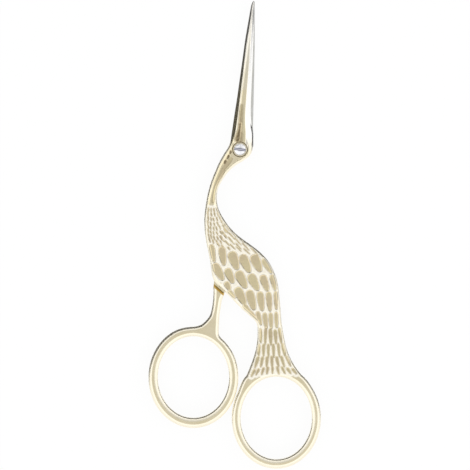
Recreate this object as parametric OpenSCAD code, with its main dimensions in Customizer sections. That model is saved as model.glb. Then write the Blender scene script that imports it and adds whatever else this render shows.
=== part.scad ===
// Stork embroidery scissors: two sculpted halves that cross at a slotted pivot screw.
// They lie closed and flat on Z = 0, beak towards +Y, with the pivot axis on Z.

/* [Thickness] */
// Thickness of the closed scissors over the rings
thick = 3.6; // [3.4:0.05:4]
// Air gap between the inner faces of the two halves
inner_gap = 0.08; // [0.08:0.01:0.14]

/* [Pivot] */
// Radius of the screw's shoulder, which the front half turns on
shoulder_r = 1.25; // [1.1:0.05:1.3]
// Radial clearance between the shoulder and the front half
running_gap = 0.04; // [0.02:0.01:0.08]
// Radius of the screw's threaded end, which the back half holds
thread_r = 0.95; // [0.8:0.05:1]
// Radius of the screw's head
head_r = 1.6; // [1.5:0.05:1.65]
// Height of the screw's head
head_h = 0.58; // [0.5:0.02:0.6]
// Width of the driver slot
slot_w = 0.4; // [0.3:0.05:0.5]
// Depth of the driver slot
slot_d = 0.28; // [0.2:0.02:0.35]
// Turn of the driver slot from the X axis, in degrees
slot_turn = -8; // [-90:1:90]
// Radius of the shallow dished ring round the screw's head
dish_r = 2.06; // [1.95:0.01:2.15]
// Radius of the raised boss under the pivot
boss_r = 2.4; // [2.2:0.1:2.6]

/* [Finger rings] */
// Centre of the left ring
left_ring = [-12.63, -61.75];
// Half width and half length of the left ring's outside
left_outer = [12.2, 13.8];
// Half width and half length of the left finger hole
left_inner = [9.7, 11.1];
// Centre of the right ring
right_ring = [9.85, -72.85];
// Half width and half length of the right ring's outside
right_outer = [12.1, 13.72];
// Half width and half length of the right finger hole
right_inner = [9.7, 11.25];
// Turn over which a ring's edge eases into its leg or shank, in degrees
shoulder_turn = 24; // [12:1:36]

/* [Crossing] */
// Distance from the pivot to the end of the back half's hidden body
tail_r = 45.2; // [43:0.1:45.4]
// Distance from the pivot to the full-thickness shoulder of the front half's leg
leg_r = 46.3; // [46:0.1:47]
// Inset of the back half's hidden body from the front half's outline
hidden_inset = 0.15; // [0.1:0.05:0.3]

/* [Smoothness] */
// Sections between one station and the next
steps = 2; // [1:1:3]
// Sections round a finger ring
ring_steps = 56; // [32:4:72]

/* [Hidden] */
$fn = 64;
gold = [0.86, 0.76, 0.52];
steel = [0.74, 0.74, 0.72];

middle = thick / 2;
front_z = middle + inner_gap / 2;
back_z = middle - inner_gap / 2;
seat_z = thick - 0.85;
head_gap = 0.03;
head_z = seat_z + head_gap;
dish_z = thick - 0.2;
pocket_r = head_r + 0.06;
ease = 0.1;
shoulder_shift = 0.12;
over = 1;

// A station crosses a half from its left edge to its right edge. Its columns are left x and y,
// right x and y, the share of the full thickness, and the kind of section: 0 is a blade,
// 1 the neck with its raised rims, 2 the flat body with rounded edges.
front_blade = [
    [3.6, 40.3, 3.88, 40.3, 0.4, 0],
    [3.06, 39.1, 3.85, 38.9, 0.5, 0],
    [2.33, 35.1, 3.79, 34.5, 0.6, 0],
    [1.41, 29.7, 3.63, 29.1, 0.7, 0],
    [0.65, 24.2, 3.44, 23.7, 0.79, 0],
    [-0.11, 18.8, 3.2, 18.3, 0.87, 0],
    [-0.87, 13.4, 2.98, 13.25, 0.93, 0],
    [-1.52, 9.3, 2.95, 9.3, 0.97, 0],
    [-1.95, 6.35, 3.2, 6.6, 0.99, 0.15],
];
back_blade = [
    [3.7, 40.2, 4, 40.2, 0.4, 0],
    [3.2, 38.9, 4, 38.9, 0.5, 0],
    [2.6, 34.5, 4, 34.8, 0.6, 0],
    [1.85, 29.4, 4, 29.65, 0.7, 0],
    [1.15, 24, 3.93, 24.2, 0.79, 0],
    [0.5, 18.5, 3.82, 18.8, 0.87, 0],
    [-0.15, 13.25, 3.7, 13.4, 0.93, 0],
    [-0.75, 9.3, 3.6, 9.3, 0.97, 0],
    [-1.5, 6.35, 3.52, 6.5, 0.99, 0.15],
];
neck = [
    [-2.28, 4.2, 3.58, 4.45, 0.99, 0.5],
    [-2.6, 2.15, 3.6, 2.15, 0.98, 0.85],
    [-3.25, 0.5, 3.5, 0.5, 0.98, 1],
    [-4.12, -0.85, 2.8, -1.4, 0.98, 1],
    [-5, -2.35, 0.95, -3, 0.99, 1],
    [-5.9, -4.1, -1.1, -4.2, 1, 1],
    [-6.9, -6.4, -3.1, -6, 1, 1],
    [-7.8, -8.7, -4.65, -8.1, 1, 1],
    [-8.55, -11.3, -5.85, -10.35, 1, 1],
    [-9.1, -14, -6.3, -12.8, 1, 1],
];
body = [
    [-9.5, -16.7, -6.05, -15.3, 1, 1],
    [-9.67, -19.1, -5.3, -17.3, 1, 1.2],
    [-9.55, -22.1, -3.8, -19.75, 1, 1.6],
    [-9.2, -24.7, -2, -22, 1, 2],
    [-8.65, -27.5, 0.27, -24, 1, 2],
    [-8.1, -30.25, 3, -25.95, 1, 2],
    [-7.78, -32.7, 5.4, -27.85, 1, 2],
    [-7.26, -35.1, 7.6, -30.25, 1, 2],
    [-5.95, -36.85, 9.15, -33.1, 1, 2],
    [-4.05, -38.65, 10.15, -36, 1, 2],
    [-1.9, -40.8, 10.65, -39.45, 1, 2],
];
tail = [
    [0.27, -43, 10.97, -43, 1, 2],
    [2.7, -45.15, 11.2, -46.2, 1, 2],
];
front_leg = [
    [4.5, -47.05, 11.6, -48.95, 1, 2],
    [4.8, -50, 12.1, -51.65, 1, 2],
    [4.5, -53.3, 12.8, -54.5, 1, 2],
    [3.7, -56.4, 13.95, -57.2, 1, 2],
    [2.65, -59.25, 15.4, -59.5, 1, 2],
    [1.8, -61.3, 16.65, -61.15, 1, 2],
];
shank_root = [
    [-6.5, -31.6, -3.5, -35.2, 0.9, 2],
    [-6.85, -34.4, -3.8, -37.1, 0.94, 2],
];
back_shank = [
    [-7.2, -37.25, -4.45, -39.7, 1, 2],
    [-7.2, -38.9, -4.9, -40.8, 1, 2],
    [-7.3, -40.8, -5.15, -42.3, 1, 2],
    [-7.6, -43, -5.4, -43.9, 1, 2],
    [-8.1, -44.9, -5.6, -45.7, 1, 2],
    [-9, -46.2, -5.7, -47.6, 1, 2],
    [-10.3, -47.4, -5.77, -49.2, 1, 2],
    [-11.65, -47.95, -5.55, -50.65, 1, 2],
    [-13.3, -48.15, -4.2, -52.05, 1, 2],
];

// A blade's outer side in section: share of its width from the spine, share of its height
blade_line = [
    [0, 0.15], [0.07, 0.45], [0.15, 0.75], [0.24, 0.97], [0.3, 1], [0.38, 0.94], [0.5, 0.78],
    [0.6, 0.78], [0.72, 0.68], [0.83, 0.48], [0.92, 0.27], [0.98, 0.17], [1, 0.15],
];
// A rounded edge in section: distance in from the edge, share of half the thickness
edge_line = [[0, 0.3], [0.05, 0.58], [0.2, 0.83], [0.45, 0.96], [0.75, 1]];
// Where the rim of the neck ends and the dip between the rims begins
dip_from = 1.15;
dip_share = 0.95;

function spline(a, b, c, d, t) =
    b + t / 2 * (c - a + t * (2 * a - 5 * b + 4 * c - d + t * (3 * b - a - 3 * c + d)));

// Stations along a smooth curve through the given ones
function smooth(rows) =
    let (last = len(rows) - 1)
    [
        for (i = [0 : last * steps])
            let (k = min(floor(i / steps), last - 1), t = i / steps - k)
            spline(rows[max(k - 1, 0)], rows[k], rows[k + 1], rows[min(k + 2, last)], t)
    ];

// A station with both ends drawn in by d, except on the blade
function drawn_in(row, d) =
    let (a = [row[0], row[1]], b = [row[2], row[3]], in = d * min(1, row[5]) * (b - a) / norm(b - a))
    [a.x + in.x, a.y + in.y, b.x - in.x, b.y - in.y, row[4], row[5]];

function mirrored(line) = [for (i = [len(line) - 1 : -1 : 0]) [1 - line[i].x, line[i].y]];

// The outer side of the neck or body, as shares of a width w; dip is the height between the rims
function body_line(w, dip) =
    let (
        squeeze = min(1, 0.42 * w / dip_from) / w,
        side = [for (p = concat(edge_line, [[dip_from, dip]])) [p.x * squeeze, p.y]]
    )
    concat(side, [[0.5, dip]], mirrored(side));

// The closed section of a full-thickness blank at one station, symmetrical about mid-thickness
function section(row, spine_right) =
    let (
        a = [row[0], row[1]], b = [row[2], row[3]], kind = min(1, row[5]),
        dip = dip_share + (1 - dip_share) * max(0, row[5] - 1),
        blade = spine_right ? mirrored(blade_line) : blade_line,
        line = (1 - kind) * blade + kind * body_line(norm(b - a), dip),
        top = [for (p = line) concat(a + p.x * (b - a), middle * (1 + p.y * row[4]))]
    )
    concat(top, [for (i = [len(top) - 1 : -1 : 0]) [top[i].x, top[i].y, thick - top[i].z]]);

// Two triangles for each cell between a row of point numbers and the next row
function walls(a, b) = [
    for (j = [0 : len(a) - 2], side = [0, 1])
        side == 0 ? [a[j], a[j + 1], b[j]] : [a[j + 1], b[j + 1], b[j]]
];

function numbers(from, count) = [for (j = [0 : count - 1]) from + j];

function closed(list) = concat(list, [list[0]]);

function reversed(list) = [for (i = [len(list) - 1 : -1 : 0]) list[i]];

// The walls along a run of sections with m points each
function long_walls(n, m) = [
    for (i = [0 : n - 2], f = walls(closed(numbers(i * m, m)), closed(numbers((i + 1) * m, m)))) f
];

// A closed solid through a run of sections
module loft(sections) {
    n = len(sections);
    m = len(sections[0]);
    ends = [reversed(numbers(0, m)), numbers((n - 1) * m, m)];
    polyhedron([for (s = sections, p = s) p], concat(long_walls(n, m), ends));
}

module blank(rows, spine_right = false) {
    loft([for (row = smooth(rows)) section(row, spine_right)]);
}

// Turn of a point on an oval that a ray from the oval's centre to p passes through
function turn_to(centre, size, p) = atan2((p.y - centre.y) / size.y, (p.x - centre.x) / size.x);

function oval(size, turn) = [size.x * cos(turn), size.y * sin(turn)];

// A point inside an oval by d, square to its edge
function inside_oval(size, turn, d) =
    let (out = [cos(turn) / size.x, sin(turn) / size.y])
    oval(size, turn) - d * out / norm(out);

// Share of a shoulder's offset that is left after a turn
function eased(turn) = let (left = max(0, 1 - turn / shoulder_turn)) left * left * (3 - 2 * left);

// A full-thickness blank that runs along its stations into the outer edge of a ring. The ring's
// edge is a row of upright slices from the last station's left end round to its right end.
module ringed_blank(rows, centre, outer, spine_right = false) {
    sections = [for (row = smooth(rows)) section(row, spine_right)];
    n = len(sections);
    m = len(sections[0]);
    last = rows[len(rows) - 1];
    side = concat(edge_line, [[dip_from, 1]]);
    high = len(side);
    from = turn_to(centre, outer, [last[0], last[1]]);
    to = turn_to(centre, outer, [last[2], last[3]]);
    sweep = (to - from + 720) % 360;
    from_off = [last[0], last[1]] - centre - oval(outer, from);
    to_off = [last[2], last[3]] - centre - oval(outer, to);
    slices = [
        for (i = [1 : ring_steps - 1])
            let (
                run = sweep * i / ring_steps,
                seat = centre + from_off * eased(run) + to_off * eased(sweep - run)
            )
            concat(
                [for (p = reversed(side)) concat(seat + inside_oval(outer, from + run, p.x), middle * (1 + p.y))],
                [for (p = side) concat(seat + inside_oval(outer, from + run, p.x), middle * (1 - p.y))]
            )
    ];
    end = numbers((n - 1) * m, m);
    left = concat([for (j = [high - 1 : -1 : 0]) end[j]], [for (j = [m - 1 : -1 : m - high]) end[j]]);
    right = numbers((n - 1) * m + high + 1, 2 * high);
    columns = concat([left], [for (i = [0 : ring_steps - 2]) numbers(n * m + i * 2 * high, 2 * high)], [right]);
    top_cap = concat([for (j = [high - 1 : high + 1]) end[j]], [for (i = [ring_steps - 1 : -1 : 1]) columns[i][0]]);
    under_cap = concat(
        [for (i = [1 : ring_steps - 1]) columns[i][2 * high - 1]],
        [for (j = [m - high - 2 : m - high]) end[j]]
    );
    polyhedron(
        concat([for (s = sections, p = s) p], [for (s = slices, p = s) p]),
        concat(
            long_walls(n, m),
            [for (i = [0 : ring_steps - 1], f = walls(columns[i + 1], columns[i])) f],
            [reversed(numbers(0, m)), top_cap, under_cap]
        )
    );
}

// The finger hole, with the rounding of its rims
module finger_hole(centre, inner) {
    steep = edge_line[4] - edge_line[3];
    rim = concat(edge_line, [edge_line[4] + steep]);
    line = concat([for (p = reversed(rim)) [p.x, p.y]], [for (p = rim) [p.x, -p.y]]);
    loft([
        for (p = line) [
            for (i = [0 : ring_steps - 1])
                let (turn = 360 * i / ring_steps)
                concat(centre + inside_oval(inner, turn, -p.x), middle * (1 + p.y))
        ]
    ]);
}

// Joins its children into one closed surface
module forged() {
    resize([0, 0, 0]) union() children();
}

module front_half() {
    color(gold) difference() {
        forged() difference() {
            ringed_blank(concat(front_blade, neck, body, tail, front_leg), right_ring, right_outer);
            finger_hole(right_ring, right_inner);
            translate([0, 0, -over]) cylinder(r = leg_r, h = front_z + over, $fn = 120);
        }
        cylinder(r = shoulder_r + running_gap, h = thick + over);
        translate([0, 0, seat_z]) cylinder(r = pocket_r, h = thick);
        translate([0, 0, dish_z]) cylinder(r = dish_r, h = thick);
    }
}

module back_half() {
    hidden = [for (row = concat(neck, body, tail)) drawn_in(row, hidden_inset)];
    shoulder = back_shank[0];
    lean = atan2(shoulder[3] - shoulder[1], shoulder[2] - shoulder[0]);
    color(gold) difference() {
        forged() difference() {
            union() {
                intersection() {
                    blank(concat(back_blade, hidden), true);
                    translate([0, 0, -over]) cylinder(r = tail_r, h = thick + 2 * over, $fn = 120);
                }
                ringed_blank(concat(shank_root, back_shank), left_ring, left_outer);
                cylinder(r = boss_r, h = back_z);
            }
            finger_hole(left_ring, left_inner);
            translate([shoulder[0], shoulder[1], back_z]) rotate(lean)
                translate([-tail_r, shoulder_shift, 0]) cube([3 * tail_r, 2 * tail_r, thick]);
        }
        translate([0, 0, -over]) cylinder(r = thread_r, h = thick + over);
    }
}

module pivot_screw() {
    color(steel) difference() {
        union() {
            translate([0, 0, ease]) cylinder(r = thread_r, h = back_z);
            translate([0, 0, back_z]) cylinder(r = shoulder_r, h = head_z - back_z + ease);
            translate([0, 0, head_z]) cylinder(r = head_r, h = head_h - ease);
            translate([0, 0, head_z + head_h - ease]) cylinder(r1 = head_r, r2 = head_r - ease, h = ease);
        }
        rotate(slot_turn) translate([-head_r - 1, -slot_w / 2, head_z + head_h - slot_d])
            cube([2 * head_r + 2, slot_w, 1]);
    }
}

front_half();
back_half();
pivot_screw();
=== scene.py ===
import math

import bmesh
import bpy
import numpy as np
from mathutils import Matrix, Vector, kdtree


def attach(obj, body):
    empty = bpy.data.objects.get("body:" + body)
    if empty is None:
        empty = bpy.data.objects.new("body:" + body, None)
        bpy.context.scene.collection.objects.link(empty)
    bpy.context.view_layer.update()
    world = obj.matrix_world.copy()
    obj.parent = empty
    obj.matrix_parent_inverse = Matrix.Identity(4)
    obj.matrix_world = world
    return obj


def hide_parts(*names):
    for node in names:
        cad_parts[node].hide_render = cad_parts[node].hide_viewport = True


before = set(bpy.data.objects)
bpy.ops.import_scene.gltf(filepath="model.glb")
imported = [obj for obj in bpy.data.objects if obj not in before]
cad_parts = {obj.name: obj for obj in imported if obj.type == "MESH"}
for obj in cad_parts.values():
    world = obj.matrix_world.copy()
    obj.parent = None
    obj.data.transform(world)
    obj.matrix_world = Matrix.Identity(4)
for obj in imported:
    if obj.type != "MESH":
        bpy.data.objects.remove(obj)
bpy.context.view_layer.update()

MM = 0.001

# The photograph: its size, the size of a pixel in millimetres, and the pivot's place in pixels
PHOTO_SIZE = 470
PIXEL = 0.271
PIXEL_X, PIXEL_Y = 240, 149.4

# Heights in millimetres, as the solids have them
THICK = 3.6
MIDDLE = THICK / 2
FRONT_FACE = 1.84
BACK_FACE = 1.76
LEG_R = 46.3

# Finger rings: centre, half size of the outside, half size of the hole
RIGHT_RING = ((9.85, -72.85), (12.08, 13.7), (9.7, 11.25))
LEFT_RING = ((-12.63, -61.75), (12.18, 13.78), (9.7, 11.1))

# Stations across a half: left x and y, right x and y, share of the thickness, kind of section
FRONT_BLADE = [
    (3.6, 40.3, 3.88, 40.3, 0.4, 0), (3.06, 39.1, 3.85, 38.9, 0.5, 0),
    (2.33, 35.1, 3.79, 34.5, 0.6, 0), (1.41, 29.7, 3.63, 29.1, 0.7, 0),
    (0.65, 24.2, 3.44, 23.7, 0.79, 0), (-0.11, 18.8, 3.2, 18.3, 0.87, 0),
    (-0.87, 13.4, 2.98, 13.25, 0.93, 0), (-1.52, 9.3, 2.95, 9.3, 0.97, 0),
    (-1.95, 6.35, 3.2, 6.6, 0.99, 0.05),
]
BACK_BLADE = [
    (3.7, 40.2, 4, 40.2, 0.4, 0), (3.2, 38.9, 4, 38.9, 0.5, 0), (2.6, 34.5, 4, 34.8, 0.6, 0),
    (1.85, 29.4, 4, 29.65, 0.7, 0), (1.15, 24, 3.93, 24.2, 0.79, 0),
    (0.5, 18.5, 3.82, 18.8, 0.87, 0), (-0.15, 13.25, 3.7, 13.4, 0.93, 0),
    (-0.75, 9.3, 3.6, 9.3, 0.97, 0), (-1.5, 6.35, 3.52, 6.5, 0.99, 0.05),
]
NECK = [
    (-2.28, 4.2, 3.58, 4.45, 0.99, 0.12), (-2.6, 2.15, 3.6, 2.15, 0.99, 0.42),
    (-3.25, 0.5, 3.5, 0.5, 0.99, 0.85), (-4.12, -0.85, 2.8, -1.4, 0.99, 1),
    (-5, -2.35, 0.95, -3, 0.99, 1), (-5.9, -4.1, -1.1, -4.2, 1, 1),
    (-6.9, -6.4, -3.1, -6, 1, 1), (-7.8, -8.7, -4.65, -8.1, 1, 1),
    (-8.55, -11.3, -5.85, -10.35, 1, 1), (-9.1, -14, -6.3, -12.8, 1, 1),
]
BODY = [
    (-9.5, -16.7, -6.05, -15.3, 1, 1), (-9.67, -19.1, -5.3, -17.3, 1, 1.2),
    (-9.55, -22.1, -3.8, -19.75, 1, 1.6), (-9.2, -24.7, -2, -22, 1, 2),
    (-8.65, -27.5, 0.27, -24, 1, 2), (-8.1, -30.25, 3, -25.95, 1, 2),
    (-7.78, -32.7, 5.4, -27.85, 1, 2), (-7.26, -35.1, 7.6, -30.25, 1, 2),
    (-5.95, -36.85, 9.15, -33.1, 1, 2), (-4.05, -38.65, 10.15, -36, 1, 2),
    (-1.9, -40.8, 10.65, -39.45, 1, 2),
]
TAIL = [(0.27, -43, 10.97, -43, 1, 2), (2.7, -45.15, 11.2, -46.2, 1, 2)]
LEG = [
    (4.5, -47.05, 11.6, -48.95, 1, 2), (4.8, -50, 12.1, -51.65, 1, 2),
    (4.5, -53.3, 12.8, -54.5, 1, 2), (3.7, -56.4, 13.95, -57.2, 1, 2),
    (2.65, -59.25, 15.4, -59.5, 1, 2), (1.8, -61.3, 16.65, -61.15, 1, 2),
]
HIDDEN_TAIL = [(0.27, -43, 10.97, -43, 1, 2), (1.2, -43.9, 11.0, -44.2, 1, 2)]
SHANK_ROOT = [(-6.5, -31.6, -3.5, -35.2, 0.9, 2), (-6.85, -34.4, -3.8, -37.1, 0.94, 2)]
SHANK = [
    (-7.2, -37.25, -4.45, -39.7, 1, 2), (-7.2, -38.9, -4.9, -40.8, 1, 2),
    (-7.3, -40.8, -5.15, -42.3, 1, 2), (-7.6, -43, -5.4, -43.9, 1, 2),
    (-8.1, -44.9, -5.6, -45.7, 1, 2), (-9, -46.2, -5.7, -47.6, 1, 2),
    (-10.3, -47.4, -5.77, -49.2, 1, 2), (-11.65, -47.95, -5.55, -50.65, 1, 2),
    (-13.3, -48.15, -4.2, -52.05, 1, 2),
]
HIDDEN_INSET = 0.15
ROOT_SUNK = 0.04

# Outer side of a blade: share of the width from the spine, up to a widest width, share of the height
SPINE_WIDEST = 4.6
BLADE_LINE = [
    (0, 0.955), (0.2, 0.955), (0.23, 0.985), (0.25, 1), (0.27, 0.99), (0.295, 0.955), (0.32, 0.91),
    (0.345, 0.885), (1, 0.885),
]
SPINE_TO, SPINE_SLOPE = 0.205, 0.8
TIP_AT, TIP_SHARE, TIP_TILT = (16, 28, 36), (1, 0.6, 0.55), (0, 0.1, 0.14)
TIP_SPINE, TIP_BARE = (SPINE_TO, 0.22, 0.36), (0.15, 0.6, 0.75)
BEVEL_FROM = 0.64
BEVEL_AT, BEVEL_SLOPE = (3, 10), (0.38, 0.6)
BARE_AT, BARE_EASE = (-1, 3.5), 0.03
# Where a painted highlight runs along a blade's crest, and how strong the painted highlight is on the crest
# and the rims
CREST_AT, CREST_HALF, CREST_FULL = 0.26, 0.055, 1.4
RIM_HIGHLIGHT = 0.6

# Rounded edges: how far the rounding reaches in and how far it drops, on the neck and the body
NECK_ROUND, BODY_ROUND, RING_ROUND = 0.58, 0.9, 0.98
NECK_DROP, BODY_DROP, RING_DROP = 0.4, 0.5, 0.27
RING_EDGE, RING_EDGE_DROP, OUTER_WIDER = 0.42, 0.145, 2.0
ROUND_POWER = 1.65
NARROW = 2.4
LAND_AT, LAND_WIDTH = (-4, -1, 3, 8), (0, 0.8, 1.5, 1.9)
LAND_EASE, LAND_START = 0.6, 0.3
CHEEK_AT, CHEEK_SHARE = (-3.5, -1, 5.5, 8), (0, 1, 1, 0)
CHEEK_WIDTH, CHEEK_SLOPE = 0.42, 0.5
RIM_INNER, RIM_OUTER, RIM_DEPTH = 0.52, 0.95, 0.15
RIM_PAST, RIM_EASE = 0.1, 0.3

# Distances in from an edge at which a mesh row lies, and the number of rows between
EDGE_ROWS = (0, 0.04, 0.1, 0.17, 0.25, 0.34, 0.44, 0.55, 0.67, 0.8, 0.95)
EDGE_SHARE = 0.42
MID_ROWS = 84
RING_MID_ROWS = 8
RING_WIDTH = 9
ARC_STEP = 0.24
BLEND_TURN = math.radians(24)
RING_EASE = math.radians(40)
BLADE_FROM, BODY_FROM = 9, -15
BLADE_GAP, NECK_GAP, BODY_GAP = 0.5, 0.2, 0.14


def row_gap(y):
    """Spacing of the mesh rows at a height y."""
    if y > BLADE_FROM:
        return BLADE_GAP
    return NECK_GAP if y > BODY_FROM else BODY_GAP


def eased(t):
    """A share from 0 to 1 with a gentle start and end."""
    return t * t * (3 - 2 * t)


def spline(a, b, c, d, t):
    """A point a share t of the way from b to c, on a smooth curve through all four."""
    return b + t / 2 * (c - a + t * (2 * a - 5 * b + 4 * c - d + t * (3 * b - a - 3 * c + d)))


def smooth(rows, fine=24):
    """Stations along a smooth curve through the given ones."""
    rows = np.array(rows, float)
    last = len(rows) - 1
    out = []
    for i in range(last * fine + 1):
        k = min(i // fine, last - 1)
        out.append(spline(rows[max(k - 1, 0)], rows[k], rows[k + 1], rows[min(k + 2, last)], i / fine - k))
    return np.array(out)


def spaced(stations, gap):
    """Stations picked at the spacing that gap gives for each height y."""
    mid = (stations[:, 0:2] + stations[:, 2:4]) / 2
    run = np.concatenate([[0], np.cumsum(np.linalg.norm(np.diff(mid, axis=0), axis=1))])
    density = np.array([1 / gap(y) for y in mid[:, 1]])
    count = np.concatenate([[0], np.cumsum((density[1:] + density[:-1]) / 2 * np.diff(run))])
    picks = np.linspace(0, count[-1], int(round(count[-1])) + 1)
    return np.stack([np.interp(picks, count, stations[:, k]) for k in range(stations.shape[1])], axis=1)


def drawn_in(rows, d):
    """Stations with both ends moved in by d."""
    rows = np.array(rows, float)
    across = rows[:, 2:4] - rows[:, 0:2]
    step = across / np.linalg.norm(across, axis=1)[:, None] * (d * np.minimum(1, rows[:, 5]))[:, None]
    rows[:, 0:2] += step
    rows[:, 2:4] -= step
    return rows


def oval(centre, size, turn):
    return np.stack([centre[0] + size[0] * np.cos(turn), centre[1] + size[1] * np.sin(turn)], axis=-1)


def turn_to(centre, size, p):
    return np.arctan2((p[..., 1] - centre[1]) / size[1], (p[..., 0] - centre[0]) / size[0])


def columns(width, mid_rows):
    """Distances across a width: close together near both edges, even between."""
    edge = np.array(EDGE_ROWS) * min(1, EDGE_SHARE * width / EDGE_ROWS[-1])
    middle = np.linspace(edge[-1], width - edge[-1], mid_rows + 2)[1:-1]
    return np.concatenate([edge, middle, width - edge[::-1]])


class Blank:
    """A closed sheet of metal that follows its stations and may end in a finger ring."""

    def __init__(self, rows, gap, ring=None, spine_right=False):
        self.rows = spaced(rows, gap)
        self.ring = ring
        self.spine_right = spine_right

    def lay_out(self):
        """Plan positions of every mesh row, with the share, width and kind there."""
        spots, share, width, height, kind = [], [], [], [], []
        for r in self.rows:
            a, b = r[0:2], r[2:4]
            w = np.linalg.norm(b - a)
            d = columns(w, MID_ROWS)
            spots.append(a + (d / w)[:, None] * (b - a))
            share.append(d / w)
            width.append(np.full(len(d), w))
            height.append(np.full(len(d), min(r[4], 1)))
            kind.append(np.full(len(d), r[5]))
        self.plan = np.array(spots)
        self.share = np.array(share)
        self.width = np.array(width)
        self.height = np.array(height)
        self.kind = np.array(kind)
        edges = [self.plan[:, 0], self.plan[:, -1]]
        if self.ring:
            self.lay_ring()
            edges += [self.arc, self.ring_plan[:, -1]]
        else:
            edges += [self.plan[0], self.plan[-1]]
        self.edge_points = np.concatenate([self.fine(e) for e in edges])

    @staticmethod
    def fine(line, step=0.05):
        run = np.concatenate([[0], np.cumsum(np.linalg.norm(np.diff(line, axis=0), axis=1))])
        at = np.linspace(0, run[-1], int(run[-1] / step) + 2)
        return np.stack([np.interp(at, run, line[:, 0]), np.interp(at, run, line[:, 1])], axis=1)

    def lay_ring(self):
        centre, outer, inner = self.ring
        rung = self.plan[-1]
        turns = np.unwrap(turn_to(centre, outer, rung))
        sweep = 2 * math.pi - abs(turns[0] - turns[-1])
        count = int(sweep * (outer[0] + outer[1]) / 2 / ARC_STEP)
        arc_turns = turns[-1] - sweep * np.arange(1, count) / count
        arc = oval(centre, outer, arc_turns)
        away = np.minimum(np.abs(arc_turns - turns[-1]), np.abs(arc_turns - turns[-1] + sweep))
        away = np.clip(away / RING_EASE, 0, 1)
        self.ring_kind = np.concatenate([np.full(len(rung), 2.0), 2 + eased(away)])
        for end, start in ((rung[-1], turns[-1]), (rung[0], turns[-1] - sweep)):
            off = end - oval(centre, outer, start)
            near = np.clip(1 - np.abs(arc_turns - start) / BLEND_TURN, 0, 1)
            arc = arc + eased(near)[:, None] * off
        loop = np.concatenate([rung, arc])
        all_turns = np.concatenate([turns, arc_turns])
        hole = oval(centre, inner, all_turns)
        self.arc = np.concatenate([[rung[-1]], arc, [rung[0]]])
        spots = []
        for p, q in zip(loop, hole):
            w = np.linalg.norm(q - p)
            d = columns(w, RING_MID_ROWS)
            spots.append(p + (d / w)[:, None] * (q - p))
        spots.append(spots[0])
        self.ring_plan = np.array(spots)

    def distances(self, plan):
        tree = kdtree.KDTree(len(self.edge_points))
        for i, p in enumerate(self.edge_points):
            tree.insert((p[0], p[1], 0), i)
        tree.balance()
        flat = plan.reshape(-1, 2)
        return np.array([tree.find((x, y, 0))[2] for x, y in flat]).reshape(plan.shape[:-1])

    def lift(self, plan, share, width, height, kind):
        """Height above mid-thickness of the sculpted side, in millimetres."""
        d = self.inset = self.distances(plan)
        late, ring = np.clip(kind - 1, 0, 1), np.clip(kind - 2, 0, 1)
        reach = NECK_ROUND + (BODY_ROUND - NECK_ROUND) * late + (RING_ROUND - BODY_ROUND) * ring
        reach = reach * np.minimum(1, width / NARROW)
        drop = NECK_DROP + (BODY_DROP - NECK_DROP) * late + (RING_DROP - BODY_DROP) * ring
        from_right = (share if self.spine_right else 1 - share) * width
        land = np.interp(plan[..., 1], LAND_AT, LAND_WIDTH)
        drop = drop * (1 - np.clip(land / LAND_EASE, 0, 1) * (from_right < width / 2))
        body = MIDDLE * height - drop * np.clip(1 - d / reach, 0, 1) ** ROUND_POWER
        bevel = np.interp(plan[..., 1], BEVEL_AT, BEVEL_SLOPE)
        wider = np.where(share < 0.5, OUTER_WIDER, 1)
        body -= RING_EDGE_DROP * wider * ring * np.clip(1 - d / RING_EDGE / wider, 0, 1) ** ROUND_POWER
        body -= bevel * np.clip(land - from_right, 0, None)
        inward = np.minimum(d, np.maximum(from_right - land, 0) + LAND_START)
        dip = np.clip((inward - RIM_INNER) / (RIM_OUTER - RIM_INNER), 0, 1)
        body -= RIM_DEPTH * (1 - late) * eased(dip)
        line = np.array(BLADE_LINE)
        across = 1 - share if self.spine_right else share
        from_spine = across * width / np.minimum(width, SPINE_WIDEST)
        spine = np.interp(plan[..., 1], TIP_AT, TIP_SPINE)
        tip = SPINE_TO + (from_spine - spine) * np.interp(plan[..., 1], TIP_AT, TIP_SHARE)
        blade = MIDDLE * height * np.interp(tip, line[:, 0], line[:, 1])
        blade -= width * np.interp(plan[..., 1], TIP_AT, TIP_TILT) * np.clip(across - spine, 0, BEVEL_FROM)
        blade -= np.minimum(width, SPINE_WIDEST) * SPINE_SLOPE * np.clip(spine - from_spine, 0, 1)
        blade -= width * bevel * np.clip(across - BEVEL_FROM, 0, 1)
        k = eased(np.clip(kind, 0, 1))
        cheek = CHEEK_SLOPE * np.interp(plan[..., 1], CHEEK_AT, CHEEK_SHARE) * (from_right < width / 2)
        # The painted highlight along the blade's crest and just inside the rounded rims
        crest = (1 - k) * np.clip(CREST_FULL - np.abs(from_spine - CREST_AT) / CREST_HALF, 0, 1)
        self.rim_highlight = RIM_HIGHLIGHT * np.maximum(crest, k * np.clip((reach + RIM_PAST - d) / RIM_EASE, 0, 1))
        return (1 - k) * blade + k * body - cheek * np.clip(CHEEK_WIDTH - d, 0, None)


def quads(grid):
    """Faces of a grid of point numbers, as it runs."""
    a, b = grid[:-1, :-1].ravel(), grid[:-1, 1:].ravel()
    c, d = grid[1:, 1:].ravel(), grid[1:, :-1].ravel()
    return np.stack([a, b, c, d], axis=1)


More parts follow.
